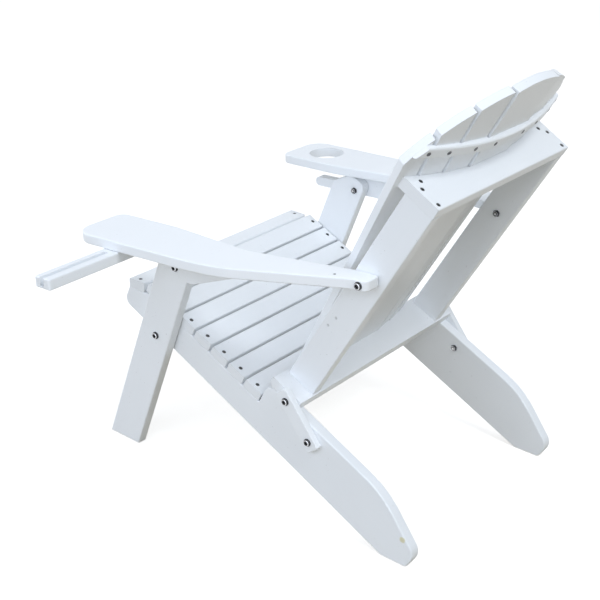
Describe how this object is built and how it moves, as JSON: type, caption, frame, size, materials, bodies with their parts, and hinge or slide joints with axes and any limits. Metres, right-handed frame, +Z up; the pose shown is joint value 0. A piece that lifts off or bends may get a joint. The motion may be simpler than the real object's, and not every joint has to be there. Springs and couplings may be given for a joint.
{
  "type": "folding adirondack chair",
  "caption": "Slatted outdoor armchair with sloping seat, fan back and wide arms that folds on pivot bolts, with a cup hole in one arm and a swivelling phone rest under the other.",
  "frame": {"origin": "on the floor, on the symmetry plane of the seat, midway between the front and rear feet", "axes": "+X to the sitter's left, +Y to the rear of the chair, +Z up"},
  "size_m": [1, 0.8822, 0.9595],
  "materials": {
    "lumber": "satin white plastic lumber",
    "fastener": "dark coated steel"
  },
  "bodies": {
    "seat_frame": {"left_stringer": "lumber", "right_stringer": "lumber", "seat_slat_1": "lumber", "seat_slat_2": "lumber", "seat_slat_3": "lumber", "seat_slat_4": "lumber", "seat_slat_5": "lumber", "seat_slat_6": "lumber", "seat_slat_7": "lumber", "seat_slat_8": "lumber", "seat_slat_screws": "fastener", "link_lower_bolts": "fastener", "leg_pivot_bolts": "fastener", "leg_pivot_washers": "fastener"},
    "left_link": {"left_fold_link": "lumber"},
    "right_link": {"right_fold_link": "lumber"},
    "back": {"left_back_upright": "lumber", "right_back_upright": "lumber", "upper_cross_board": "lumber", "lower_cross_board": "lumber", "back_slat_1": "lumber", "back_slat_2": "lumber", "back_slat_3": "lumber", "back_slat_4": "lumber", "back_slat_5": "lumber", "back_slat_6": "lumber", "back_slat_7": "lumber", "top_brace": "lumber", "brace_screws": "fastener", "cross_board_screws": "fastener", "upright_side_screws": "fastener", "link_upper_screws": "fastener", "arm_rear_bolts": "fastener"},
    "left_arm": {"left_arm": "lumber", "left_arm_bracket": "lumber", "left_arm_front_bolt": "fastener", "left_arm_top_screw": "fastener", "phone_pivot_screw": "fastener"},
    "right_arm": {"right_arm": "lumber", "right_arm_bracket": "lumber", "right_arm_front_bolt": "fastener", "right_arm_top_screw": "fastener"},
    "left_leg": {"left_front_leg": "lumber", "left_leg_top_nut": "fastener"},
    "right_leg": {"right_front_leg": "lumber", "right_leg_top_nut": "fastener"},
    "phone_rest": {"phone_rest": "lumber"}
  },
  "joints": [
    {"name": "back_fold", "type": "hinge", "parent": "left_link", "child": "back", "pos_m": [0.2885, 0.11262, 0.27428], "axis": [1, 0, 0], "range_deg": [0, 96.1]},
    {"name": "left_link_swing", "type": "hinge", "parent": "seat_frame", "child": "left_link", "pos_m": [0.2885, 0.17252, 0.20095], "axis": [1, 0, 0], "range_deg": [-36.11, 0]},
    {"name": "right_link_swing", "type": "hinge", "parent": "seat_frame", "child": "right_link", "pos_m": [-0.2885, 0.17252, 0.20095], "axis": [1, 0, 0], "range_deg": [-36.11, 0]},
    {"name": "left_arm_fold", "type": "hinge", "parent": "back", "child": "left_arm", "pos_m": [0.2615, 0.27532, 0.58054], "axis": [1, 0, 0], "range_deg": [-49.41, 0]},
    {"name": "right_arm_fold", "type": "hinge", "parent": "back", "child": "right_arm", "pos_m": [-0.2615, 0.27532, 0.58054], "axis": [1, 0, 0], "range_deg": [-49.41, 0]},
    {"name": "left_leg_fold", "type": "hinge", "parent": "seat_frame", "child": "left_leg", "pos_m": [0.2955, -0.24995, 0.30939], "axis": [1, 0, 0], "range_deg": [0, 78.01]},
    {"name": "right_leg_fold", "type": "hinge", "parent": "seat_frame", "child": "right_leg", "pos_m": [-0.2955, -0.24995, 0.30939], "axis": [1, 0, 0], "range_deg": [0, 78.01]},
    {"name": "phone_swivel", "type": "hinge", "parent": "left_arm", "child": "phone_rest", "pos_m": [0.363, -0.27017, 0.53845], "axis": [0, -0.0569, 0.9984], "range_deg": [-60, 90]}
  ],
  "couplings": [
    {"joint": "left_link_swing", "follows": "back_fold", "ratio": -0.37565},
    {"joint": "right_link_swing", "follows": "back_fold", "ratio": -0.37565},
    {"joint": "left_arm_fold", "follows": "back_fold", "ratio": -0.51405},
    {"joint": "right_arm_fold", "follows": "back_fold", "ratio": -0.51405},
    {"joint": "left_leg_fold", "follows": "back_fold", "ratio": 0.81166},
    {"joint": "right_leg_fold", "follows": "back_fold", "ratio": 0.81166}
  ]
}
